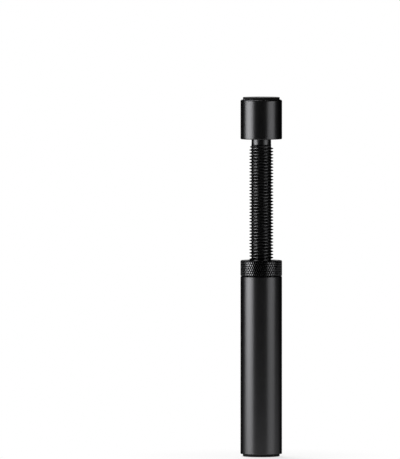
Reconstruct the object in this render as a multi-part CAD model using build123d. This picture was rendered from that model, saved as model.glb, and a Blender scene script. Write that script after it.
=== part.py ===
from build123d import *
import math
import os

# Adjustable screw-jack column that stands under a load and holds it up.
# Millimetres, +Z up, origin on the floor at the column's axis.

# Outside of the column: base tube, adjusting nut and head share one diameter.
column_diameter = 20.0
tube_length = 85.5
nut_height = 7.7
head_height = 19.0
edge_chamfer = 0.45
head_chamfer = 0.3

# Rubber pads under the base and on the head, each partly sunk in a recess.
pad_diameter = 17.7
pad_thickness = 2.0
pad_proud = 1.2
pad_chamfer = 0.3

# Disc magnet above the foot pad.
magnet_diameter = 14.0
magnet_thickness = 3.0
magnet_chamfer = 0.3

# Right-hand V thread of the rod.
thread_major = 11.75
thread_pitch = 1.5
thread_angle = 60.0
thread_facets = 24
fade_turns = 0.75
thread_land = 0.3
runout_length = 0.7

# Plain neck of the rod and its shank in the head.
neck_diameter = 9.4
neck_length = 3.0
shank_length = 16.0

# Bore of the tube and how far the rod stands out of it at rest.
base_height = 22.0
drill_point_angle = 118.0
lowest_gap = 0.3
tip_clearance = 0.8
thread_below_nut = 4.7

# Diamond knurl of the nut.
knurl_count = 60
knurl_depth = 0.36
knurl_row_height = 1.0
knurl_rim = 0.35
nut_groove = 0.55
nut_top_edge = 0.3

# Clearances between the pieces.
rod_clearance = 0.2
thread_clearance = 0.2
shank_clearance = 0.03
seat_clearance = 0.1
nut_mouth = 0.5
nut_relief = 2.0

column_radius = column_diameter / 2
thread_depth = thread_pitch / 2 / math.tan(math.radians(thread_angle / 2))
crest_radius = thread_major / 2
root_radius = crest_radius - thread_depth
neck_radius = neck_diameter / 2
bore_radius = crest_radius + rod_clearance
pad_sunk = pad_thickness - pad_proud
recess_radius = pad_diameter / 2 + seat_clearance

# The rod is as long as the bore allows: fully lowered, its tip just clears the bore's end.
bore_depth = tube_length - base_height
thread_length = bore_depth + nut_height + lowest_gap - neck_length - tip_clearance
exposed_rod = neck_length + thread_length - nut_height - thread_below_nut

# Heights of the main faces at rest.
tube_bottom = pad_proud
tube_top = tube_bottom + tube_length
nut_top = tube_top + nut_height
head_bottom = nut_top + exposed_rod
head_top = head_bottom + head_height
thread_top = head_bottom - neck_length
rod_tip = thread_top - thread_length

# The crest runs out at the neck's foot. Whole turns are counted down from there, and the tip stays plain.
thread_turns = math.floor((thread_length - thread_land) / thread_pitch - 0.5)
thread_start = thread_top - (thread_turns + 0.5) * thread_pitch


def turned(*profile):
    """Solid of revolution about Z from (radius, height) corners."""
    outline = Polyline(*[(radius, 0, height) for radius, height in profile], close=True)
    return revolve(make_face(outline), Axis.Z)


def upright_cylinder(radius, height):
    """Cylinder on the axis that stands on the ground plane."""
    return Cylinder(radius, height, align=(Align.CENTER, Align.CENTER, Align.MIN))


def around(radius, step, steps, height):
    """Point on a circle about Z, at one of its even steps."""
    angle = 2 * math.pi * (step % steps) / steps
    return Vector(radius * math.cos(angle), radius * math.sin(angle), height)


def faceted_solid(facets):
    """Closed solid from flat facets, each a list of corners."""
    return Solid(Shell([Face(Wire.make_polygon(facet, close=True)) for facet in facets]))


def threaded_bar(root, crest, start, turns, bottom, top):
    """Bar with a helical V thread whose crest rises from the root at one end and fades at the other."""
    last = turns * thread_facets
    fade = fade_turns * thread_facets

    def root_point(step):
        return around(root, step, thread_facets, start + thread_pitch * step / thread_facets)

    def crest_point(step):
        share = min(1, step / fade, (last - step) / fade)
        height = start + thread_pitch * (step / thread_facets + 0.5)
        return around(root + (crest - root) * share, step, thread_facets, height)

    def end_point(step, height):
        return around(root, step, thread_facets, height)

    facets = []
    for step in range(last):
        low, next_low = root_point(step), root_point(step + 1)
        ridge, next_ridge = crest_point(step), crest_point(step + 1)
        high, next_high = root_point(step + thread_facets), root_point(step + 1 + thread_facets)
        facets += [(low, next_low, ridge), (next_low, next_ridge, ridge)]
        facets += [(ridge, next_ridge, next_high), (ridge, next_high, high)]
    # A skirt fills the ramp between each end turn and its flat end, up to the thread's first or last edge.
    first_edge = [root_point(0), crest_point(0)]
    last_edge = [root_point(last + thread_facets), crest_point(last)]
    for step in range(thread_facets):
        skirt = [end_point(step, bottom), end_point(step + 1, bottom)]
        skirt += first_edge if step == thread_facets - 1 else []
        facets.append(skirt + [root_point(step + 1), root_point(step)])
        skirt = [root_point(last + step), root_point(last + step + 1)]
        skirt += [end_point(step + 1, top), end_point(step, top)]
        facets.append(skirt + (last_edge if step == 0 else []))
    for height in (bottom, top):
        facets.append([end_point(step, height) for step in range(thread_facets)])
    return faceted_solid(facets)


def knurled_ring_blank(bottom, top):
    """Bar covered in four-sided pyramids whose valleys run in two crossing families of helices."""
    columns = 2 * knurl_count
    band_bottom = bottom + knurl_rim
    band_height = top - bottom - 2 * knurl_rim
    rows = max(2, round(band_height / knurl_row_height))
    valley_radius = column_radius - knurl_depth

    def lattice(column, row):
        """Peaks and valley crossings take turns along and around the bar."""
        radius = valley_radius if (column + row) % 2 else column_radius
        return around(radius, column, columns, band_bottom + band_height * row / rows)

    facets = []
    for row in range(rows):
        for column in range(columns):
            corner = lattice(column, row)
            right = lattice(column + 1, row)
            above = lattice(column, row + 1)
            opposite = lattice(column + 1, row + 1)
            if (column + row) % 2:
                facets += [(corner, right, opposite), (corner, opposite, above)]
            else:
                facets += [(corner, right, above), (right, opposite, above)]
    # Each rim slopes from the last row of peaks and crossings to a plain circle, deeper at the groove below.
    for row, height, rim_depth in ((0, bottom, nut_groove), (rows, top, nut_top_edge)):
        peak_columns = range(row % 2, columns, 2)
        rim = [around(column_radius - rim_depth, column, columns, height) for column in peak_columns]
        facets.append(rim)
        for column, near, far in zip(peak_columns, rim, rim[1:] + rim[:1]):
            crossing = lattice(column + 1, row)
            facets.append((lattice(column, row), crossing, near))
            facets.append((crossing, lattice(column + 2, row), far))
            facets.append((crossing, far, near))
    return faceted_solid(facets)


def base_tube():
    """Turned tube: blind rod bore from above, magnet pocket and pad recess from below."""
    recess_top = tube_bottom + pad_sunk
    pocket_radius = magnet_diameter / 2 + seat_clearance
    pocket_top = recess_top + seat_clearance + magnet_thickness
    bore_end = tube_bottom + base_height
    drill_point = bore_end - bore_radius / math.tan(math.radians(drill_point_angle / 2))
    return turned(
        (0, drill_point),
        (bore_radius, bore_end),
        (bore_radius, tube_top - edge_chamfer),
        (bore_radius + edge_chamfer, tube_top),
        (column_radius - edge_chamfer, tube_top),
        (column_radius, tube_top - edge_chamfer),
        (column_radius, tube_bottom + edge_chamfer),
        (column_radius - edge_chamfer, tube_bottom),
        (recess_radius, tube_bottom),
        (recess_radius, recess_top),
        (pocket_radius, recess_top),
        (pocket_radius, pocket_top),
        (0, pocket_top),
    )


def base_magnet():
    """Disc magnet held against the top of its pocket."""
    top = tube_bottom + pad_sunk + seat_clearance + magnet_thickness
    radius = magnet_diameter / 2
    bottom = top - magnet_thickness
    return turned(
        (0, bottom),
        (radius - magnet_chamfer, bottom),
        (radius, bottom + magnet_chamfer),
        (radius, top - magnet_chamfer),
        (radius - magnet_chamfer, top),
        (0, top),
    )


def rubber_pad(seat, outward):
    """Round pad with a softened rim, seated at one height and facing up (1) or down (-1)."""
    disc = upright_cylinder(pad_diameter / 2, pad_thickness)
    rim = disc.edges().filter_by(GeomType.CIRCLE).sort_by(Axis.Z)[-1]
    disc = chamfer(rim, pad_chamfer)
    facing = Rotation(0 if outward > 0 else 180, 0, 0)
    return Pos(0, 0, seat) * facing * disc


def adjusting_nut():
    """Knurled ring with the rod's thread cut through it, relieved where it seats on the tube."""
    turns_below = math.floor((tube_top - thread_start) / thread_pitch) - 2
    turns = math.ceil(nut_height / thread_pitch) + 3
    start = thread_start + turns_below * thread_pitch
    tap = threaded_bar(
        root_radius + thread_clearance,
        crest_radius + thread_clearance,
        start,
        turns,
        start - thread_pitch,
        start + (turns + 2) * thread_pitch,
    )
    mouth_radius = crest_radius + thread_clearance + nut_mouth
    top_mouth = Pos(0, 0, nut_top - nut_mouth) * upright_cylinder(mouth_radius, nut_mouth)
    seat_relief = Pos(0, 0, tube_top) * upright_cylinder(mouth_radius, nut_relief)
    return knurled_ring_blank(tube_top, nut_top) - [tap, top_mouth, seat_relief]


def threaded_rod():
    """Rod whose thread starts at its tip and fades into a plain neck, with a shank for the head."""
    bar_top = thread_top + thread_pitch
    bar = threaded_bar(root_radius, crest_radius, thread_start, thread_turns, rod_tip, bar_top)
    neck_bottom = thread_top - runout_length
    neck_height = head_bottom + shank_length - neck_bottom
    return bar + Pos(0, 0, neck_bottom) * upright_cylinder(neck_radius, neck_height)


def support_head():
    """Turned head: blind hole for the shank from below, pad recess from above."""
    hole_radius = neck_radius + shank_clearance
    hole_top = head_bottom + shank_length
    recess_floor = head_top - pad_sunk
    return turned(
        (0, hole_top),
        (hole_radius, hole_top),
        (hole_radius, head_bottom),
        (column_radius - head_chamfer, head_bottom),
        (column_radius, head_bottom + head_chamfer),
        (column_radius, head_top - edge_chamfer),
        (column_radius - edge_chamfer, head_top),
        (recess_radius, head_top),
        (recess_radius, recess_floor),
        (0, recess_floor),
    )


pieces = {
    "base_tube": base_tube(),
    "base_magnet": base_magnet(),
    "foot_pad": rubber_pad(tube_bottom + pad_sunk, -1),
    "adjusting_nut": adjusting_nut(),
    "threaded_rod": threaded_rod(),
    "support_head": support_head(),
    "top_pad": rubber_pad(head_top - pad_sunk, 1),
}

os.makedirs("parts", exist_ok=True)
for name, piece in pieces.items():
    export_step(piece, f"parts/{name}.step")
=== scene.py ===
import math

import bpy
import numpy as np
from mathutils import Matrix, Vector


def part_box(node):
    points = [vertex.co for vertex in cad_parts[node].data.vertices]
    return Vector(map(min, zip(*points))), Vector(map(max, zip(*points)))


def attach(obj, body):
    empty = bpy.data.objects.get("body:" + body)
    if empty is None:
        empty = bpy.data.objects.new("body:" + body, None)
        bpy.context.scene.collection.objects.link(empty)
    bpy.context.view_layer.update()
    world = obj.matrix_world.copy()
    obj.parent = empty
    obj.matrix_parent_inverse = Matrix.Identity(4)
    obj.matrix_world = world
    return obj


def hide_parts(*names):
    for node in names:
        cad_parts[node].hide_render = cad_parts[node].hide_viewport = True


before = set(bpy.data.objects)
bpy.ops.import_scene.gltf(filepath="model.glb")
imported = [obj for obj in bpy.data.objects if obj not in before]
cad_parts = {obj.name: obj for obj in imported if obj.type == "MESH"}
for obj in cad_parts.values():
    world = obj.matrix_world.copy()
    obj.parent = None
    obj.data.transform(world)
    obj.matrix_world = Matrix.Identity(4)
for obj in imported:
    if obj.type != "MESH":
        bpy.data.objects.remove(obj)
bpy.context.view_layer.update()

bl_info = {
    "name": "Screw Jack Column",
    "version": (1, 0, 0),
    "blender": (4, 5, 0),
    "location": "View3D > Sidebar > Column",
    "description": "Dresses a support column: turned black metal, V thread, diamond knurl and rubber pads",
    "category": "Object",
}

# Places and sizes that the frame gives, in metres.
tube_low, tube_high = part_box("base_tube")
nut_low, nut_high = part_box("adjusting_nut")
rod_low, rod_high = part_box("threaded_rod")
head_low, head_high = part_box("support_head")
foot_low, foot_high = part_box("foot_pad")
top_low, top_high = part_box("top_pad")
magnet_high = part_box("base_magnet")[1]

# Points around a turned surface, and along the bend of each of its edges.
TURNED_STEPS = 192
BEND_STEPS = 6

# Points around and across one turn of the rod's thread, and rows of points along the nut's.
THREAD_STEPS = 72
THREAD_ACROSS = 24
NUT_THREAD_ROWS = 48

# Points across one diamond of the knurl, and rows of them that each end chamfer takes.
DIAMOND_STEPS = 12
CHAMFER_ROWS = 2


class ColumnSizes(bpy.types.PropertyGroup):
    """Sizes of the column's edges, bores, thread and knurl."""

    edge_chamfer: bpy.props.FloatProperty(
        name="Edge chamfer",
        description="Chamfer of the head's upper edge and the bore's mouth",
        default=0.00045,
        unit="LENGTH",
        precision=5,
    )
    tube_chamfer: bpy.props.FloatProperty(
        name="Tube chamfer",
        description="Chamfer of the tube's two outer edges",
        default=0.0002,
        unit="LENGTH",
        precision=5,
    )
    head_chamfer: bpy.props.FloatProperty(
        name="Head chamfer",
        description="Chamfer of the head's lower edge",
        default=0.0003,
        unit="LENGTH",
        precision=5,
    )
    edge_softness: bpy.props.FloatProperty(
        name="Edge softness",
        description="How far from each turned corner its bend begins",
        default=0.0001,
        unit="LENGTH",
        precision=5,
    )
    seat_clearance: bpy.props.FloatProperty(
        name="Seat clearance",
        description="Room around a pad, the magnet or the shank in its hole",
        default=0.0001,
        unit="LENGTH",
        precision=5,
    )
    bore_diameter: bpy.props.FloatProperty(
        name="Bore diameter",
        description="Plain bore of the tube, which the rod slides in",
        default=0.01215,
        unit="LENGTH",
        precision=5,
    )
    base_height: bpy.props.FloatProperty(
        name="Base height",
        description="Solid base below the bore, without its drill point",
        default=0.022,
        unit="LENGTH",
        precision=5,
    )
    drill_point_depth: bpy.props.FloatProperty(
        name="Drill point depth",
        description="Depth of the cone at the bore's end",
        default=0.00365,
        unit="LENGTH",
        precision=5,
    )
    pad_softness: bpy.props.FloatProperty(
        name="Pad softness",
        description="How far from a pad's rim its bend begins",
        default=0.0002,
        unit="LENGTH",
        precision=5,
    )
    thread_pitch: bpy.props.FloatProperty(
        name="Thread pitch",
        description="Rise of the right-hand thread in one turn",
        default=0.0015,
        unit="LENGTH",
        precision=5,
    )
    thread_depth: bpy.props.FloatProperty(
        name="Thread depth",
        description="Height of the thread's crest over its root",
        default=0.00115,
        unit="LENGTH",
        precision=5,
    )
    thread_root: bpy.props.FloatProperty(
        name="Thread root",
        description="Share of half a pitch, from the root's middle, where the thread's flank begins",
        default=0.28,
        subtype="FACTOR",
        min=0.0,
        max=0.5,
    )
    thread_crest: bpy.props.FloatProperty(
        name="Thread crest",
        description="Share of half a pitch, from the root's middle, where the thread's flank meets the crest",
        default=0.88,
        subtype="FACTOR",
        min=0.5,
        max=1.0,
    )
    thread_fade: bpy.props.FloatProperty(
        name="Thread fade",
        description="Turns over which the crest rises at the thread's start and fades at its end",
        default=0.75,
    )
    thread_clearance: bpy.props.FloatProperty(
        name="Thread clearance",
        description="Radial room between the rod's thread and the nut's",
        default=0.0002,
        unit="LENGTH",
        precision=5,
    )
    neck_diameter: bpy.props.FloatProperty(
        name="Neck diameter",
        description="Plain neck of the rod under the head",
        default=0.0094,
        unit="LENGTH",
        precision=5,
    )
    neck_flare: bpy.props.FloatProperty(
        name="Neck flare",
        description="How far the neck's foot stands out where it meets the thread",
        default=0.00014,
        unit="LENGTH",
        precision=5,
    )
    neck_length: bpy.props.FloatProperty(
        name="Neck length",
        description="Plain neck between the thread's run-out and the head",
        default=0.003,
        unit="LENGTH",
        precision=5,
    )
    knurl_count: bpy.props.IntProperty(
        name="Knurl count",
        description="Diamonds around the nut",
        default=60,
        min=12,
    )
    knurl_half_rows: bpy.props.IntProperty(
        name="Knurl half rows",
        description="Rows of diamonds along the nut, each half a diamond apart",
        default=7,
        min=2,
    )
    knurl_turn: bpy.props.FloatProperty(
        name="Knurl turn",
        description="How far the knurl is turned about the nut, as a share of one diamond",
        default=0.25,
        subtype="FACTOR",
    )
    knurl_depth: bpy.props.FloatProperty(
        name="Knurl depth",
        description="Depth of the knurl's V grooves",
        default=0.0005,
        unit="LENGTH",
        precision=5,
    )
    knurl_flat: bpy.props.FloatProperty(
        name="Knurl flat",
        description="Share of each diamond's width that stays flat between the grooves",
        default=0.5,
        subtype="FACTOR",
        min=0.0,
        max=0.9,
    )
    nut_groove: bpy.props.FloatProperty(
        name="Nut groove",
        description="How far the nut's lower chamfer goes in, where it meets the tube",
        default=0.00055,
        unit="LENGTH",
        precision=5,
    )
    nut_top_edge: bpy.props.FloatProperty(
        name="Nut top edge",
        description="How far the nut's upper chamfer goes in",
        default=0.0003,
        unit="LENGTH",
        precision=5,
    )
    nut_mouth: bpy.props.FloatProperty(
        name="Nut mouth",
        description="Depth of the nut's upper counterbore, and how much wider than the thread both are",
        default=0.0005,
        unit="LENGTH",
        precision=5,
    )
    nut_relief: bpy.props.FloatProperty(
        name="Nut relief",
        description="Depth of the nut's lower counterbore",
        default=0.002,
        unit="LENGTH",
        precision=5,
    )


class ColumnFinish(bpy.types.PropertyGroup):
    """Colours and gloss of the column's finishes."""

    anodised_colour: bpy.props.FloatVectorProperty(
        name="Anodised colour",
        description="What the black anodised metal reflects",
        default=(0.040, 0.040, 0.0413),
        subtype="COLOR",
        min=0.0,
        max=1.0,
    )
    anodised_roughness: bpy.props.FloatProperty(
        name="Anodised roughness",
        description="Satin of the turned surfaces",
        default=0.30,
        subtype="FACTOR",
        min=0.0,
        max=1.0,
    )
    # Painted highlight: a paler colour blended in along the sharp edges, knurl flats and thread crests,
    # standing in for light that those edges catch.
    painted_highlight_colour: bpy.props.FloatVectorProperty(
        name="Painted highlight colour",
        description="Paler colour painted along the sharp edges as a highlight",
        default=(0.083, 0.083, 0.085),
        subtype="COLOR",
        min=0.0,
        max=1.0,
    )
    rubber_colour: bpy.props.FloatVectorProperty(
        name="Rubber colour",
        description="Black of the rubber pads",
        default=(0.009, 0.009, 0.009),
        subtype="COLOR",
        min=0.0,
        max=1.0,
    )
    plating_colour: bpy.props.FloatVectorProperty(
        name="Plating colour",
        description="Nickel plating of the magnet",
        default=(0.60, 0.60, 0.58),
        subtype="COLOR",
        min=0.0,
        max=1.0,
    )


class StudioLook(bpy.types.PropertyGroup):
    """Camera, lights, floor and white surround."""

    camera_elevation: bpy.props.FloatProperty(
        name="Camera elevation",
        description="How far the camera looks down on the column",
        default=math.radians(2.4),
        subtype="ANGLE",
    )
    camera_distance: bpy.props.FloatProperty(
        name="Camera distance",
        description="From the camera to the column",
        default=6.0,
        unit="LENGTH",
    )
    picture_height: bpy.props.FloatProperty(
        name="Picture height",
        description="What the picture's height covers at the column",
        default=0.2208,
        unit="LENGTH",
        precision=5,
    )
    picture_centre_left: bpy.props.FloatProperty(
        name="Picture centre left",
        description="How far the picture's centre lies left of the column's axis",
        default=0.02948,
        unit="LENGTH",
        precision=5,
    )
    picture_centre_height: bpy.props.FloatProperty(
        name="Picture centre height",
        description="How far the picture's centre lies above the floor",
        default=0.1092,
        unit="LENGTH",
        precision=5,
    )
    left_strip_angle: bpy.props.FloatProperty(
        name="Left strip angle",
        description="Place of the left strip light, counted from the camera",
        default=math.radians(-72.5),
        subtype="ANGLE",
    )
    right_strip_angle: bpy.props.FloatProperty(
        name="Right strip angle",
        description="Place of the right strip light, counted from the camera",
        default=math.radians(57),
        subtype="ANGLE",
    )
    strip_distance: bpy.props.FloatProperty(
        name="Strip distance",
        description="From the column's axis to each strip light",
        default=1.2,
        unit="LENGTH",
    )
    strip_middle: bpy.props.FloatProperty(
        name="Strip middle",
        description="Height of the middle of both strip lights",
        default=0.1,
        unit="LENGTH",
    )
    strip_height: bpy.props.FloatProperty(
        name="Strip height",
        description="How tall both strip lights are, low so that they light little of the floor",
        default=0.2,
        unit="LENGTH",
    )
    left_strip_width: bpy.props.FloatProperty(
        name="Left strip width",
        description="How wide the left strip light is",
        default=1.16,
        unit="LENGTH",
    )
    right_strip_width: bpy.props.FloatProperty(
        name="Right strip width",
        description="How wide the right strip light is",
        default=1.0,
        unit="LENGTH",
    )
    left_strip_power: bpy.props.FloatProperty(
        name="Left strip power",
        description="Power of the left strip light",
        default=2.92,
        unit="POWER",
    )
    right_strip_power: bpy.props.FloatProperty(
        name="Right strip power",
        description="Power of the right strip light",
        default=0.80,
        unit="POWER",
    )
    top_light_power: bpy.props.FloatProperty(
        name="Top light power",
        description="Power of the soft light above and behind",
        default=3.8,
        unit="POWER",
    )
    top_light_place: bpy.props.FloatVectorProperty(
        name="Top light place",
        description="Place of the soft light above and behind",
        default=(-0.16, 0.45, 0.75),
        subtype="TRANSLATION",
    )
    top_light_size: bpy.props.FloatProperty(
        name="Top light size",
        description="Side of the square soft light above and behind",
        default=0.5,
        unit="LENGTH",
    )
    light_spread: bpy.props.FloatProperty(
        name="Light spread",
        description="Full angle that each light's grid lets through",
        default=math.radians(90),
        subtype="ANGLE",
    )
    surround_colour: bpy.props.FloatVectorProperty(
        name="Surround colour",
        description="Grey of the dim studio all round",
        default=(0.05, 0.05, 0.05),
        subtype="COLOR",
        min=0.0,
        max=1.0,
    )
    floor_colour: bpy.props.FloatVectorProperty(
        name="Floor colour",
        description="Pale colour of the floor",
        default=(0.55, 0.55, 0.55),
        subtype="COLOR",
        min=0.0,
        max=1.0,
    )
    floor_radius: bpy.props.FloatProperty(
        name="Floor radius",
        description="How far the floor reaches",
        default=2.4,
        unit="LENGTH",
    )
    foot_white: bpy.props.FloatProperty(
        name="Foot white",
        description="Share of white in the floor at the foot, where the column's shadow shows through",
        default=0.77,
        subtype="FACTOR",
        min=0.0,
        max=1.0,
    )
    foot_inner: bpy.props.FloatProperty(
        name="Foot inner",
        description="Distance from the axis where that share starts to rise",
        default=0.012,
        unit="LENGTH",
        precision=5,
    )
    foot_outer: bpy.props.FloatProperty(
        name="Foot outer",
        description="Distance from the axis where the floor is plain white",
        default=0.075,
        unit="LENGTH",
        precision=5,
    )
    white_front: bpy.props.FloatProperty(
        name="White front",
        description="How far in front of the column the white starts to fade",
        default=0.025,
        unit="LENGTH",
        precision=5,
    )
    lit_front: bpy.props.FloatProperty(
        name="Lit front",
        description="How far in front of the column the white has given way to the lit floor",
        default=0.16,
        unit="LENGTH",
        precision=5,
    )
    white_side: bpy.props.FloatProperty(
        name="White side",
        description="How far to the sides the white starts to fade",
        default=0.18,
        unit="LENGTH",
    )
    lit_side: bpy.props.FloatProperty(
        name="Lit side",
        description="How far to the sides the white has given way to the lit floor",
        default=0.9,
        unit="LENGTH",
    )
    wall_rim: bpy.props.FloatProperty(
        name="Wall rim",
        description="Cosine of the angle from straight back at which the wall starts to turn white",
        default=0.85,
        subtype="FACTOR",
        min=0.0,
        max=1.0,
    )
    wall_core: bpy.props.FloatProperty(
        name="Wall core",
        description="Cosine of the angle from straight back within which the wall is plain white",
        default=0.98,
        subtype="FACTOR",
        min=0.0,
        max=1.0,
    )


def softened(corners, reach):
    """Profile of (radius, height) points with eased inner corners, and how much each lies on an outer edge.

    From a to b, which lie `reach` before and after corner c, the line follows (1-t)^2 a + 2t(1-t) c + t^2 b.
    On short runs the reach is cut to a share of the run. A guard point stands twice as far out on both sides,
    so that smooth shading leaves the straight runs flat.
    """
    most_of_run = 0.22
    corners = np.asarray(corners, float)
    inner = corners[1:-1]
    arms = np.stack([corners[:-2] - inner, corners[2:] - inner])
    lengths = np.linalg.norm(arms, axis=2, keepdims=True)
    directions = arms / lengths
    reach = np.minimum(reach, most_of_run * lengths.min(axis=0))
    start, end = inner + directions * reach
    first_guard, last_guard = inner + directions * 2 * reach
    t = np.linspace(0, 1, BEND_STEPS)[None, :, None]
    bend = (1 - t) ** 2 * start[:, None] + 2 * t * (1 - t) * inner[:, None] + t**2 * end[:, None]
    points = np.concatenate([first_guard[:, None], bend, last_guard[:, None]], axis=1).reshape(-1, 2)
    before, after = directions
    # Outer edges get edge values, which paint a highlight along them.
    outer = before[:, 0] * after[:, 1] - before[:, 1] * after[:, 0] < 0
    swell = np.concatenate([[0], np.sin(np.pi * t[0, :, 0]), [0]])
    edge = np.outer(outer, swell).ravel()
    return np.vstack([corners[:1], points, corners[-1:]]), np.concatenate([[0], edge, [0]])


def about_axis(radius, angle, height):
    """List of the points (r cos w, r sin w, z), row by row."""
    radius, angle, height = np.broadcast_arrays(radius, angle, height)
    return np.stack([radius * np.cos(angle), radius * np.sin(angle), height], axis=-1).reshape(-1, 3)


def rings(profile, steps):
    """One row of points around the axis for each (radius, height) of a profile."""
    return about_axis(profile[:, :1], 2 * np.pi * np.arange(steps) / steps, profile[:, 1:])


def ring_quads(rows, steps, first=0):
    """Four-sided faces between rows of points that close around the axis."""
    row, step = np.meshgrid(np.arange(rows - 1), np.arange(steps), indexing="ij")
    here = first + row * steps + step
    beside = first + row * steps + (step + 1) % steps
    return np.stack([here, beside, beside + steps, here + steps], axis=-1).reshape(-1, 4)


def pole_fan(pole, ring, steps, upper):
    """Three-sided faces between a ring of points and the point on the axis that closes it."""
    here = np.arange(steps)
    beside = (here + 1) % steps
    tip = np.full(steps, pole)
    order = [ring + here, ring + beside, tip] if upper else [tip, ring + beside, ring + here]
    return np.stack(order, axis=-1)


def turned_surface(profile, edge):
    """Surface of revolution of a profile that starts and ends on the axis, with its outer-edge values."""
    body = rings(profile[1:-1], TURNED_STEPS)
    poles = [(0, 0, height) for height in profile[[0, -1], 1]]
    rows = len(profile) - 2
    faces = ring_quads(rows, TURNED_STEPS).tolist()
    faces += pole_fan(len(body), 0, TURNED_STEPS, upper=False).tolist()
    faces += pole_fan(len(body) + 1, (rows - 1) * TURNED_STEPS, TURNED_STEPS, upper=True).tolist()
    values = np.concatenate([np.repeat(edge[1:-1], TURNED_STEPS), [0, 0]])
    return np.vstack([body, poles]), faces, values


def smooth_step(value):
    """Smooth rise 3x^2 - 2x^3 from 0 to 1 while a value x goes from 0 to 1."""
    value = np.clip(value, 0, 1)
    return value * value * (3 - 2 * value)


def soft_positive(value, ease):
    """Larger of a value and 0, with its bend eased into the hyperbola (t + sqrt(t^2 + ease^2)) / 2."""
    return (value + np.sqrt(value**2 + ease**2)) / 2


def v_thread(sizes, share, depth, root):
    """Radius of a V thread at a share of its pitch: a triangle wave with a flat root and a rounded crest.

    With x the distance from the root's middle as a share of half a pitch, the radius is root + depth s(x),
    where s is 0 on the root, rises straight along the flank and is 1 on the crest. Both bends are eased by
    hyperbolas.
    """
    root_ease, crest_ease = 0.05, 0.12
    x = 1 - np.abs(2 * (share % 1) - 1)
    rise = soft_positive((x - sizes.thread_root) / (sizes.thread_crest - sizes.thread_root), root_ease)
    return root + depth * (1 - soft_positive(1 - rise, crest_ease))


def add_mesh(name, vertices, faces, material):
    """Mesh object at the origin, from its points and the numbers of each face's corners."""
    mesh = bpy.data.meshes.new(name)
    mesh.from_pydata(vertices.tolist(), [], faces)
    if mesh.validate():
        raise RuntimeError(f"the faces of {name} don't make a clean mesh")
    mesh.materials.append(material)
    item = bpy.data.objects.new(name, mesh)
    bpy.context.scene.collection.objects.link(item)
    return item


def add_piece(name, vertices, faces, edge, material, body, slot, node, flat=None):
    """Smooth mesh object in the frame's own coordinates that stands for one node and rides on its body.

    The faces that are marked flat keep their crisp edges.
    """
    piece = add_mesh(name, vertices, faces, material)
    mesh = piece.data
    mesh.attributes.new("edge", "FLOAT", "POINT").data.foreach_set("value", edge.astype(np.float32))
    mesh.shade_smooth()
    if flat is not None:
        mesh.polygons.foreach_set("use_smooth", ~flat)
    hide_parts(node)
    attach(piece, body)


def feed(tree, socket, value):
    """Gives a node's input a value, or a link from another node's output."""
    if isinstance(value, bpy.types.NodeSocket):
        tree.links.new(value, socket)
    else:
        socket.default_value = value


def set_node(tree, node, **values):
    """Sets a node's inputs, whose names start with a capital, and its other settings."""
    for name, value in values.items():
        if name[0].islower():
            setattr(node, name, value)
        else:
            feed(tree, node.inputs[name.replace("_", " ")], value)


def add_node(tree, kind, **values):
    """New shader node with values or links for its inputs, and with its other settings."""
    node = tree.nodes.new(kind)
    set_node(tree, node, **values)
    return node


def maths(tree, operation, *values):
    """Result of a Math node on values or sockets."""
    node = add_node(tree, "ShaderNodeMath", operation=operation)
    for socket, value in zip(node.inputs, values):
        feed(tree, socket, value)
    return node.outputs[0]


def blend_colours(tree, share, first, second):
    """Colour between two colours, by a share."""
    node = add_node(tree, "ShaderNodeMix", data_type="RGBA", Factor=share)
    for name, value in (("A", first), ("B", second)):
        feed(tree, next(s for s in node.inputs if s.name == name and s.type == "RGBA"), value)
    return next(s for s in node.outputs if s.type == "RGBA")


def eased_range(tree, value, low, high, low_result=0.0):
    """Smooth rise from the low result to 1 while a value goes from low to high."""
    return add_node(
        tree,
        "ShaderNodeMapRange",
        interpolation_type="SMOOTHSTEP",
        Value=value,
        From_Min=low,
        From_Max=high,
        To_Min=low_result,
        To_Max=1.0,
    ).outputs["Result"]


def new_group(name, inputs, outputs):
    """Empty shader node group with named sockets, and the sockets that its nodes start from and lead to."""
    group = bpy.data.node_groups.new(name, "ShaderNodeTree")
    for in_out, sockets in (("INPUT", inputs), ("OUTPUT", outputs)):
        for label, kind in sockets.items():
            group.interface.new_socket(label, in_out=in_out, socket_type=kind)
    return group, group.nodes.new("NodeGroupInput").outputs, group.nodes.new("NodeGroupOutput").inputs


def fine_grain_group():
    """Grain of a blasted or moulded surface: fine noise as relief, and its mean with a broad one as tone."""
    name = "Fine grain"
    if name in bpy.data.node_groups:
        return bpy.data.node_groups[name]
    group, source, target = new_group(
        name,
        {"Place": "NodeSocketVector", "Grain size": "NodeSocketFloat", "Cloud size": "NodeSocketFloat"},
        {"Relief": "NodeSocketFloat", "Tone": "NodeSocketFloat"},
    )
    noises = []
    for size, detail, roughness in (("Grain size", 3.0, 0.55), ("Cloud size", 4.0, 0.6)):
        noise = add_node(
            group,
            "ShaderNodeTexNoise",
            Vector=source["Place"],
            Scale=maths(group, "DIVIDE", 1.0, source[size]),
            Detail=detail,
            Roughness=roughness,
        )
        noises.append(noise.outputs["Fac"])
    group.links.new(noises[0], target["Relief"])
    group.links.new(maths(group, "DIVIDE", maths(group, "ADD", *noises), 2.0), target["Tone"])
    return group


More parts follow.
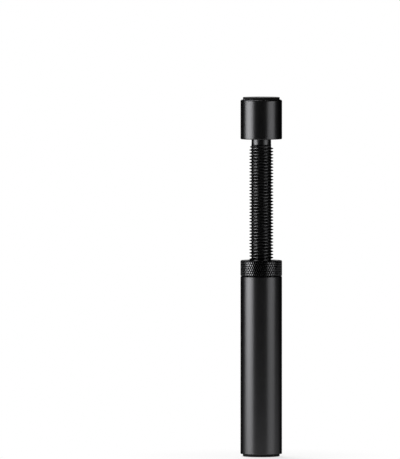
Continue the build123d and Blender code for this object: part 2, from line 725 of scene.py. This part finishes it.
def edge_highlight_group():
    """Mask of the painted edge highlight: its edge value, broken up by noise along it, times an amount."""
    name = "Edge rub"
    if name in bpy.data.node_groups:
        return bpy.data.node_groups[name]
    group, source, target = new_group(
        name,
        {"Place": "NodeSocketVector", "Edge": "NodeSocketFloat", "Amount": "NodeSocketFloat"},
        {"Mask": "NodeSocketFloat"},
    )
    patches_per_metre = 700.0
    noise = add_node(group, "ShaderNodeTexNoise", Vector=source["Place"], Scale=patches_per_metre, Detail=3.0)
    broken = add_node(
        group,
        "ShaderNodeMapRange",
        Value=noise.outputs["Fac"],
        From_Min=0.3,
        From_Max=0.65,
        To_Min=0.35,
        To_Max=1.0,
    ).outputs["Result"]
    highlighted = maths(group, "MULTIPLY", source["Edge"], broken)
    group.links.new(maths(group, "MULTIPLY", highlighted, source["Amount"]), target["Mask"])
    return group


def new_material(name):
    """Node material, its tree, its Principled shader and the object coordinates."""
    material = bpy.data.materials.new(name)
    material.use_nodes = True
    tree = material.node_tree
    shader = next(node for node in tree.nodes if node.type == "BSDF_PRINCIPLED")
    place = tree.nodes.new("ShaderNodeTexCoord").outputs["Object"]
    return material, tree, shader, place


def grained(tree, place, colour, tone_factor, roughness, swing, grain_size, cloud_size):
    """Relief, colour and roughness of a grained surface.

    Its tone takes the colour from itself to its product with a factor, and the roughness up by a swing.
    """
    grain = add_node(
        tree,
        "ShaderNodeGroup",
        node_tree=fine_grain_group(),
        Place=place,
        Grain_size=grain_size,
        Cloud_size=cloud_size,
    ).outputs
    toned = (*(tone_factor * channel for channel in colour), 1)
    shade = blend_colours(tree, grain["Tone"], (*colour, 1), toned)
    return grain["Relief"], shade, maths(tree, "MULTIPLY_ADD", grain["Tone"], swing, roughness)


def anodised_material(name, highlight):
    """Satin black anodised metal: fine blasted grain, soft clouds in its gloss, and edges made glossier and
    painted paler as a highlight.
    """
    roughness_swing, edge_gloss, edge_tint = 0.10, 0.08, 0.2
    finish = bpy.context.scene.column_finish
    material, tree, shader, place = new_material(name)
    relief, black, satin = grained(
        tree,
        place,
        finish.anodised_colour,
        tone_factor=1.2,
        roughness=finish.anodised_roughness - roughness_swing / 2,
        swing=roughness_swing,
        grain_size=0.00011,
        cloud_size=0.009,
    )
    edge = add_node(tree, "ShaderNodeAttribute", attribute_name="edge").outputs["Fac"]
    edge_highlight_node = add_node(tree, "ShaderNodeGroup", node_tree=edge_highlight_group(), Place=place, Edge=edge, Amount=highlight)
    highlighted = edge_highlight_node.outputs["Mask"]
    bump = add_node(tree, "ShaderNodeBump", Height=relief, Strength=0.12, Distance=0.00001)
    set_node(
        tree,
        shader,
        # Painted highlight: the edge mask blends the black towards the paler highlight colour.
        Base_Color=blend_colours(tree, highlighted, black, (*finish.painted_highlight_colour, 1)),
        Roughness=maths(tree, "SUBTRACT", satin, maths(tree, "MULTIPLY", highlighted, edge_gloss)),
        Normal=bump.outputs["Normal"],
        Metallic=1.0,
        Specular_Tint=(edge_tint, edge_tint, edge_tint, 1),
    )
    return material


def rubber_material():
    """Matt black rubber with a fine moulded grain."""
    colour = bpy.context.scene.column_finish.rubber_colour
    material, tree, shader, place = new_material("Pad rubber")
    relief, black, matt = grained(
        tree,
        place,
        colour,
        tone_factor=1.8,
        roughness=0.78,
        swing=0.16,
        grain_size=0.00022,
        cloud_size=0.004,
    )
    normal = add_node(tree, "ShaderNodeBump", Height=relief, Strength=0.4, Distance=0.00003).outputs["Normal"]
    set_node(tree, shader, Base_Color=black, Roughness=matt, Normal=normal, Specular_IOR_Level=0.12)
    return material


def plating_material():
    """Bright nickel plating, lightly clouded."""
    colour = bpy.context.scene.column_finish.plating_colour
    material, tree, shader, place = new_material("Magnet plating")
    _, nickel, gloss = grained(
        tree,
        place,
        colour,
        tone_factor=0.85,
        roughness=0.27,
        swing=0.15,
        grain_size=0.0003,
        cloud_size=0.003,
    )
    set_node(tree, shader, Base_Color=nickel, Roughness=gloss, Metallic=1.0)
    return material


class COLUMN_OT_base_tube(bpy.types.Operator):
    """Turned tube with its blind bore, magnet pocket and pad recess"""

    bl_idname = "column.base_tube"
    bl_label = "Base tube"

    def execute(self, context):
        sizes = context.scene.column_sizes
        radius = tube_high.x
        chamfer = sizes.edge_chamfer
        outer = sizes.tube_chamfer
        bore = sizes.bore_diameter / 2
        recess = foot_high.x + sizes.seat_clearance
        pocket = magnet_high.x + sizes.seat_clearance
        bore_end = tube_low.z + sizes.base_height
        corners = [
            (0, magnet_high.z),
            (pocket, magnet_high.z),
            (pocket, foot_high.z),
            (recess, foot_high.z),
            (recess, tube_low.z),
            (radius - outer, tube_low.z),
            (radius, tube_low.z + outer),
            (radius, tube_high.z - outer),
            (radius - outer, tube_high.z),
            (bore + chamfer, tube_high.z),
            (bore, tube_high.z - chamfer),
            (bore, bore_end),
            (0, bore_end - sizes.drill_point_depth),
        ]
        surface = turned_surface(*softened(corners, sizes.edge_softness))
        material = anodised_material("Anodised tube", highlight=0.5)
        add_piece("tube_shell", *surface, material, "base", "anodised_metal", "base_tube")
        return {"FINISHED"}


class COLUMN_OT_rubber_pads(bpy.types.Operator):
    """Foot pad and top pad, each a round disc with a softened rim"""

    bl_idname = "column.rubber_pads"
    bl_label = "Rubber pads"

    def execute(self, context):
        softness = context.scene.column_sizes.pad_softness
        material = rubber_material()
        for name, body, node, low, high in (
            ("foot_disc", "base", "foot_pad", foot_low, foot_high),
            ("card_disc", "rod", "top_pad", top_low, top_high),
        ):
            corners = [(0, low.z), (high.x, low.z), (high.x, high.z), (0, high.z)]
            surface = turned_surface(*softened(corners, softness))
            add_piece(name, *surface, material, body, "pad_rubber", node)
        return {"FINISHED"}


class COLUMN_OT_support_head(bpy.types.Operator):
    """Turned head with its shank hole and pad recess"""

    bl_idname = "column.support_head"
    bl_label = "Support head"

    def execute(self, context):
        sizes = context.scene.column_sizes
        radius = head_high.x
        hole = sizes.neck_diameter / 2 + sizes.seat_clearance
        recess = top_high.x + sizes.seat_clearance
        corners = [
            (0, rod_high.z),
            (hole, rod_high.z),
            (hole, head_low.z),
            (radius - sizes.head_chamfer, head_low.z),
            (radius, head_low.z + sizes.head_chamfer),
            (radius, head_high.z - sizes.edge_chamfer),
            (radius - sizes.edge_chamfer, head_high.z),
            (recess, head_high.z),
            (recess, top_low.z),
            (0, top_low.z),
        ]
        surface = turned_surface(*softened(corners, sizes.edge_softness))
        material = anodised_material("Anodised head", highlight=0.5)
        add_piece("head_shell", *surface, material, "rod", "anodised_metal", "support_head")
        return {"FINISHED"}


def thread_place(sizes):
    """Where the thread starts, how many turns it has and where the neck's foot is.

    Whole turns are counted down from half a turn below the neck's foot, and the tip stays plain.
    """
    plain_turns = 0.7
    neck_foot = head_low.z - sizes.neck_length
    turns = math.floor((neck_foot - rod_low.z) / sizes.thread_pitch - plain_turns)
    return neck_foot - (turns + 0.5) * sizes.thread_pitch, turns, neck_foot


def thread_points(sizes, step, share):
    """Points of the rod's thread, and how much each lies on its crest.

    At step i of n around and at the share s of the pitch, a point lies at angle 2 pi i / n, at height
    start + pitch (i / n + s) and at the V profile's radius. The crest rises from nothing over the first part
    of a turn and fades away again over the last. One more turn without a crest carries the neck's flared
    foot, a smooth step from the root with a smooth fall behind it.
    """
    foot_share, flare_share, crest_share = 1 / 8, 2 / 5, 3 / 4
    start, turns, neck_foot = thread_place(sizes)
    neck = sizes.neck_diameter / 2
    root = rod_high.x - sizes.thread_depth
    turn = step / THREAD_STEPS
    height = start + sizes.thread_pitch * (turn + share)
    growth = np.clip(np.minimum(turn, turns - turn) / sizes.thread_fade, 0, 1)
    above = (height - neck_foot) / sizes.thread_pitch
    flared = neck + sizes.neck_flare * (1 - smooth_step(above / flare_share))
    foot = root + smooth_step(above / foot_share + 1) * (flared - root)
    radius = np.maximum(v_thread(sizes, share, sizes.thread_depth * growth, root), foot)
    # The crest value paints a highlight along the thread's crests.
    rise = (radius - root) / sizes.thread_depth
    crest = np.clip((rise - crest_share) / (1 - crest_share), 0, 1)
    return about_axis(radius, 2 * np.pi * turn, height), crest.ravel()


def rod_end_profiles(sizes):
    """Profiles of the plain rod below the thread, from the tip up, and above it, up to the shank's end."""
    start, turns, _ = thread_place(sizes)
    neck = sizes.neck_diameter / 2
    root = rod_high.x - sizes.thread_depth
    soft = sizes.edge_softness
    chamfer = 3 * soft
    neck_start = start + (turns + 2) * sizes.thread_pitch + soft
    low = [(root - chamfer, rod_low.z), (root, rod_low.z + chamfer), (root, start - soft)]
    high = [(neck, neck_start), (neck, rod_high.z - chamfer), (neck - chamfer, rod_high.z)]
    return np.array(low), np.array(high)


def threaded_rod_faces(last, low_rows, high_rows):
    """Faces over the points of the thread, of its last root and of the rings at its two ends.

    The point past the last across one turn is the first of the turn above, so the turns share their roots.
    """
    steps, across = THREAD_STEPS, THREAD_ACROSS
    upper_first = (last + 1) * across
    low_first = upper_first + steps
    low_last = low_first + (low_rows - 1) * steps
    high_first = low_last + steps
    high_last = high_first + (high_rows - 1) * steps
    pole = high_last + steps

    def number(step, column):
        """Number of a thread point, where the column past a turn's last is the next turn's first."""
        above = column == across
        step = np.where(above, step + steps, step)
        column = np.where(above, 0, column)
        return np.where(step > last, upper_first + step - last - 1, step * across + column)

    step, column = np.meshgrid(np.arange(last), np.arange(across), indexing="ij")
    near = [number(step, column), number(step + 1, column)]
    far = [number(step + 1, column + 1), number(step, column + 1)]
    faces = np.stack(near + far, axis=-1).reshape(-1, 4).tolist()
    faces += ring_quads(low_rows, steps, low_first).tolist()
    faces += ring_quads(high_rows, steps, high_first).tolist()
    faces += pole_fan(pole, low_first, steps, upper=False).tolist()
    faces += pole_fan(pole + 1, high_last, steps, upper=True).tolist()

    # Skirts between the rings and the thread's first and last root, each with one face along the cut end.
    here = np.arange(steps)
    beside = (here + 1) % steps
    first_root = number(np.arange(steps + 1), 0)
    last_root = number(last + np.arange(steps + 1), 0)
    lower = np.transpose([low_last + here, low_last + beside, first_root[1:], first_root[:-1]]).tolist()
    higher = np.transpose([last_root[:-1], last_root[1:], high_first + beside, high_first + here]).tolist()
    first_cut = number(0, np.arange(across)).tolist()
    last_cut = number(last, np.arange(across)).tolist()
    lower[-1] = lower[-1][:2] + first_cut + lower[-1][2:]
    higher[0] = higher[0] + [int(last_root[-1])] + last_cut[:0:-1]
    return faces + lower + higher


def threaded_rod_surface(sizes):
    """Threaded rod as one closed surface, with the thread's crest as its edge values.

    The thread is a grid of steps around and points across its pitch, with its last root one turn above. Rings
    of revolution close both ends.
    """
    steps, across = THREAD_STEPS, THREAD_ACROSS
    turns = thread_place(sizes)[1]
    last = (turns + 1) * steps
    step, share = np.meshgrid(np.arange(last + 1), np.arange(across) / across, indexing="ij")
    body, body_edge = thread_points(sizes, step, share)
    upper, upper_edge = thread_points(sizes, last + 1 + np.arange(steps), np.zeros(steps))
    low, high = rod_end_profiles(sizes)
    ends = np.vstack([rings(low, steps), rings(high, steps), [(0, 0, rod_low.z), (0, 0, rod_high.z)]])
    edge = np.concatenate([body_edge, upper_edge, np.zeros(len(ends))])
    return np.vstack([body, upper, ends]), threaded_rod_faces(last, len(low), len(high)), edge


class COLUMN_OT_threaded_rod(bpy.types.Operator):
    """Rod whose V profile is carried along a right-hand helix up to its plain neck and shank"""

    bl_idname = "column.threaded_rod"
    bl_label = "Threaded rod"

    def execute(self, context):
        surface = threaded_rod_surface(context.scene.column_sizes)
        material = anodised_material("Anodised thread", highlight=0.2)
        add_piece("rod_thread", *surface, material, "rod", "anodised_metal", "threaded_rod")
        return {"FINISHED"}


def groove_shares(column, row):
    """How far a point lies from its diamond's middle towards each of the two families of grooves.

    With a and b the place around and along in diamonds, u = a + b and v = a - b count the two families, and
    the shares are 2 |u - round u| and 2 |v - round v|.
    """
    around, along = column / DIAMOND_STEPS, row / DIAMOND_STEPS
    u, v = around + along, around - along
    return 2 * np.abs(u - np.round(u)), 2 * np.abs(v - np.round(v))


def knurled_outside(sizes, steps):
    """Radii, heights and edge values of the nut's outside, in rows from its lower face to its upper face.

    The radius is R - depth g, where g is 0 over the flat of each diamond and rises straight to 1 in the
    nearest groove. The end chamfers cut that off. The flats and a narrow border around them get edge values,
    which paint a highlight on them.
    """
    highlight_border = 0.1
    radius = nut_high.x
    last = sizes.knurl_half_rows * DIAMOND_STEPS // 2
    row, column = np.meshgrid(np.arange(last + 1), np.arange(steps), indexing="ij")
    past_flat = np.maximum(*groove_shares(column, row)) - sizes.knurl_flat
    knurl = radius - sizes.knurl_depth * np.clip(past_flat / (1 - sizes.knurl_flat), 0, 1)
    low_cut = radius - sizes.nut_groove * (1 - row / CHAMFER_ROWS)
    high_cut = radius - sizes.nut_top_edge * (1 - (last - row) / CHAMFER_ROWS)
    outside = np.minimum(knurl, np.minimum(low_cut, high_cut))
    # Edge values for the painted highlight on the flats.
    edge = np.clip(1 - past_flat / highlight_border, 0, 1) * (outside == knurl)
    return outside, np.linspace(nut_low.z, nut_high.z, last + 1)[:, None], edge


def threaded_inside(sizes, angle):
    """Radii and heights of the nut's inside, in rows from its upper face to its lower face.

    Between two plain counterbores the radius is that of the rod's thread with its clearance: at height z and
    angle w the share of the pitch is (z - start) / pitch - w / 2 pi.
    """
    start = thread_place(sizes)[0]
    crest = rod_high.x + sizes.thread_clearance
    mouth = crest + sizes.nut_mouth
    soft = sizes.edge_softness
    thread_high = nut_high.z - sizes.nut_mouth
    thread_low = nut_low.z + sizes.nut_relief
    height = np.linspace(thread_high, thread_low, NUT_THREAD_ROWS)[:, None]
    share = (height - start) / sizes.thread_pitch - angle / (2 * np.pi)
    thread = v_thread(sizes, share, sizes.thread_depth, crest - sizes.thread_depth)
    upper = np.array([(mouth + soft, nut_high.z), (mouth, nut_high.z - soft), (mouth, thread_high)])
    lower = np.array([(mouth, thread_low), (mouth, nut_low.z + soft), (mouth + soft, nut_low.z)])
    all_round = np.ones(len(angle))
    radii = np.vstack([upper[:, :1] * all_round, thread, lower[:, :1] * all_round])
    return radii, np.vstack([upper[:, 1:], height, lower[:, 1:]])


def nut_surface(sizes):
    """Nut as one closed surface over rows and steps around, its edge values, and which faces are knurled.

    The rows go up the outside and down the inside, and the last row joins the first. Each four-sided face is
    split along the groove that it is nearest to, so that the diamonds' edges stay straight.
    """
    steps = sizes.knurl_count * DIAMOND_STEPS
    angle = 2 * np.pi * (np.arange(steps) / DIAMOND_STEPS + sizes.knurl_turn) / sizes.knurl_count
    outside, outside_height, outside_edge = knurled_outside(sizes, steps)
    inside, inside_height = threaded_inside(sizes, angle)
    radius = np.vstack([outside, inside])
    points = about_axis(radius, angle, np.vstack([outside_height, inside_height]))
    edge = np.concatenate([outside_edge.ravel(), np.zeros(inside.size)])

    rows = len(radius)
    row, step = np.meshgrid(np.arange(rows), np.arange(steps), indexing="ij")
    above, beside = (row + 1) % rows, (step + 1) % steps
    corner = [row * steps + step, row * steps + beside, above * steps + beside, above * steps + step]
    a, b, c, d = (number.ravel() for number in corner)
    rising, falling = groove_shares(step + 0.5, row + 0.5)
    split_ac = (falling > rising).ravel()
    first = np.where(split_ac, a, b), np.where(split_ac, b, c), np.where(split_ac, c, d)
    second = np.where(split_ac, a, b), np.where(split_ac, c, d), np.where(split_ac, d, a)
    faces = np.vstack([np.stack(first, axis=-1), np.stack(second, axis=-1)]).tolist()
    knurled = np.tile((row < len(outside) - 1).ravel(), 2)
    return points, faces, edge, knurled


class COLUMN_OT_adjusting_nut(bpy.types.Operator):
    """Nut with a diamond knurl outside and the rod's thread inside"""

    bl_idname = "column.adjusting_nut"
    bl_label = "Adjusting nut"

    def execute(self, context):
        *surface, knurled = nut_surface(context.scene.column_sizes)
        material = anodised_material("Anodised knurl", highlight=0.8)
        add_piece("nut_knurl", *surface, material, "nut", "anodised_metal", "adjusting_nut", flat=knurled)
        return {"FINISHED"}


class COLUMN_OT_base_magnet(bpy.types.Operator):
    """Nickel plating on the magnet, which keeps its own solid"""

    bl_idname = "column.base_magnet"
    bl_label = "Base magnet"

    def execute(self, context):
        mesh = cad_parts["base_magnet"].data
        mesh.materials.clear()
        mesh.materials.append(plating_material())
        return {"FINISHED"}


def seen_rays(tree):
    """1 for the rays of the camera and of glossy and clear surfaces, and 0 for all other light."""
    rays = tree.nodes.new("ShaderNodeLightPath").outputs
    seen = maths(tree, "MAXIMUM", rays["Is Camera Ray"], rays["Is Glossy Ray"])
    return maths(tree, "MAXIMUM", seen, rays["Is Transmission Ray"])


def floor_material(look):
    """Pale floor that takes the column's shadow and turns plain white around and behind it.

    What the camera and the glossy surfaces see of it is an even white of strength 1. That white thins out at
    the foot, where the shadow shows, and gives way to the lit floor in front and at the sides. All other
    light meets the floor's own colour.
    """
    material = bpy.data.materials.new("Studio floor")
    material.use_nodes = True
    tree = material.node_tree
    tree.nodes.clear()
    place = tree.nodes.new("ShaderNodeTexCoord").outputs["Object"]
    distance = add_node(tree, "ShaderNodeVectorMath", operation="LENGTH", Vector=place).outputs["Value"]
    axes = add_node(tree, "ShaderNodeSeparateXYZ", Vector=place).outputs
    away = eased_range(tree, distance, look.foot_inner, look.foot_outer, look.foot_white)
    lane = eased_range(tree, maths(tree, "ABSOLUTE", axes["X"]), look.lit_side, look.white_side)
    behind = eased_range(tree, axes["Y"], -look.lit_front, -look.white_front)
    share = maths(tree, "MULTIPLY", away, maths(tree, "MULTIPLY", lane, behind))
    lit = add_node(tree, "ShaderNodeBsdfDiffuse", Color=(*look.floor_colour, 1))
    white = add_node(tree, "ShaderNodeEmission", Color=(1, 1, 1, 1), Strength=1.0)
    mix = tree.nodes.new("ShaderNodeMixShader")
    seen = maths(tree, "MULTIPLY", seen_rays(tree), share)
    for socket, value in zip(mix.inputs, (seen, lit.outputs[0], white.outputs[0])):
        feed(tree, socket, value)
    add_node(tree, "ShaderNodeOutputMaterial", Surface=mix.outputs[0])
    return material


def surround_world(look):
    """Dim studio whose wall behind the column is an even white of strength 1.

    What the camera and the glossy surfaces see rises from the dim grey to white by how far their rays point
    back.
    """
    world = bpy.data.worlds.new("Studio surround")
    world.use_nodes = True
    tree = world.node_tree
    background = next(node for node in tree.nodes if node.type == "BACKGROUND")
    direction = tree.nodes.new("ShaderNodeTexCoord").outputs["Generated"]
    backward = add_node(tree, "ShaderNodeSeparateXYZ", Vector=direction).outputs["Y"]
    white = eased_range(tree, backward, look.wall_rim, look.wall_core)
    wall = maths(tree, "MULTIPLY", seen_rays(tree), white)
    set_node(tree, background, Color=blend_colours(tree, wall, (*look.surround_colour, 1), (1, 1, 1, 1)))
    return world


def add_floor(look):
    """Thin round floor just below the column's foot."""
    thickness, gap = 0.01, 0.00002
    radius = look.floor_radius
    profile = np.array([(0, -thickness), (radius, -thickness), (radius, -gap), (0, -gap)])
    vertices, faces, _ = turned_surface(profile, np.zeros(len(profile)))
    item = add_mesh("studio_floor", vertices, faces, floor_material(look))


def add_area_light(name, place, target, width, height, power, spread):
    """Rectangular soft light at a place, facing a target."""
    data = bpy.data.lights.new(name, "AREA")
    data.shape = "RECTANGLE"
    data.size = width
    data.size_y = height
    data.energy = power
    data.spread = spread
    light = bpy.data.objects.new(name, data)
    light.location = place
    light.rotation_euler = (target - place).to_track_quat("-Z", "Y").to_euler()
    bpy.context.scene.collection.objects.link(light)


def add_lights(look):
    """Two low strip lights that draw the column's highlights, and a soft light above and behind it."""
    middle = Vector((0, 0, look.strip_middle))
    for name, angle, width, power in (
        ("left_strip", look.left_strip_angle, look.left_strip_width, look.left_strip_power),
        ("right_strip", look.right_strip_angle, look.right_strip_width, look.right_strip_power),
    ):
        place = middle + look.strip_distance * Vector((math.sin(angle), -math.cos(angle), 0))
        add_area_light(name, place, middle, width, look.strip_height, power, look.light_spread)
    place, side = Vector(look.top_light_place), look.top_light_size
    add_area_light("top_light", place, middle, side, side, look.top_light_power, look.light_spread)


def add_camera(look):
    """Camera whose picture covers the set height at the column."""
    data = bpy.data.cameras.new("photo_camera")
    data.sensor_width = 36.0
    data.lens = data.sensor_width * look.camera_distance / look.picture_height
    data.clip_end = 20.0
    camera = bpy.data.objects.new("photo_camera", data)
    target = Vector((-look.picture_centre_left, 0, look.picture_centre_height))
    backwards = Vector((0, -math.cos(look.camera_elevation), math.sin(look.camera_elevation)))
    camera.location = target + backwards * look.camera_distance
    camera.rotation_euler = (-backwards).to_track_quat("-Z", "Y").to_euler()
    bpy.context.scene.collection.objects.link(camera)
    return camera


class COLUMN_OT_studio(bpy.types.Operator):
    """Floor, white surround, lights and camera"""

    bl_idname = "column.studio"
    bl_label = "Studio"

    def execute(self, context):
        scene = context.scene
        look = scene.studio_look
        add_floor(look)
        add_lights(look)
        scene.world = surround_world(look)
        scene.camera = add_camera(look)
        scene.view_settings.view_transform = "Standard"
        return {"FINISHED"}


class COLUMN_PT_sidebar(bpy.types.Panel):
    """Sizes, finishes and steps of the column"""

    bl_idname = "COLUMN_PT_sidebar"
    bl_label = "Screw Jack Column"
    bl_space_type = "VIEW_3D"
    bl_region_type = "UI"
    bl_category = "Column"

    def draw(self, context):
        scene = context.scene
        for title, group in (
            ("Sizes", scene.column_sizes),
            ("Finish", scene.column_finish),
            ("Studio", scene.studio_look),
        ):
            box = self.layout.box()
            box.label(text=title)
            for name in group.__annotations__:
                box.prop(group, name)
        steps = self.layout.column()
        for operator in OPERATORS:
            steps.operator(operator.bl_idname)


OPERATORS = (
    COLUMN_OT_base_tube,
    COLUMN_OT_base_magnet,
    COLUMN_OT_adjusting_nut,
    COLUMN_OT_threaded_rod,
    COLUMN_OT_support_head,
    COLUMN_OT_rubber_pads,
    COLUMN_OT_studio,
)
PROPERTY_GROUPS = {"column_sizes": ColumnSizes, "column_finish": ColumnFinish, "studio_look": StudioLook}


def register():
    """Registers the classes and gives the scene its settings."""
    for cls in (*PROPERTY_GROUPS.values(), *OPERATORS, COLUMN_PT_sidebar):
        bpy.utils.register_class(cls)
    for name, group in PROPERTY_GROUPS.items():
        setattr(bpy.types.Scene, name, bpy.props.PointerProperty(type=group))


def unregister():
    """Takes the settings and the classes away again."""
    for name in PROPERTY_GROUPS:
        delattr(bpy.types.Scene, name)
    for cls in (COLUMN_PT_sidebar, *reversed(OPERATORS), *PROPERTY_GROUPS.values()):
        bpy.utils.unregister_class(cls)


def main():
    """Makes every piece and the studio in order."""
    register()
    bpy.ops.column.base_tube()
    bpy.ops.column.base_magnet()
    bpy.ops.column.adjusting_nut()
    bpy.ops.column.threaded_rod()
    bpy.ops.column.support_head()
    bpy.ops.column.rubber_pads()
    bpy.ops.column.studio()


if __name__ == "__main__":
    main()
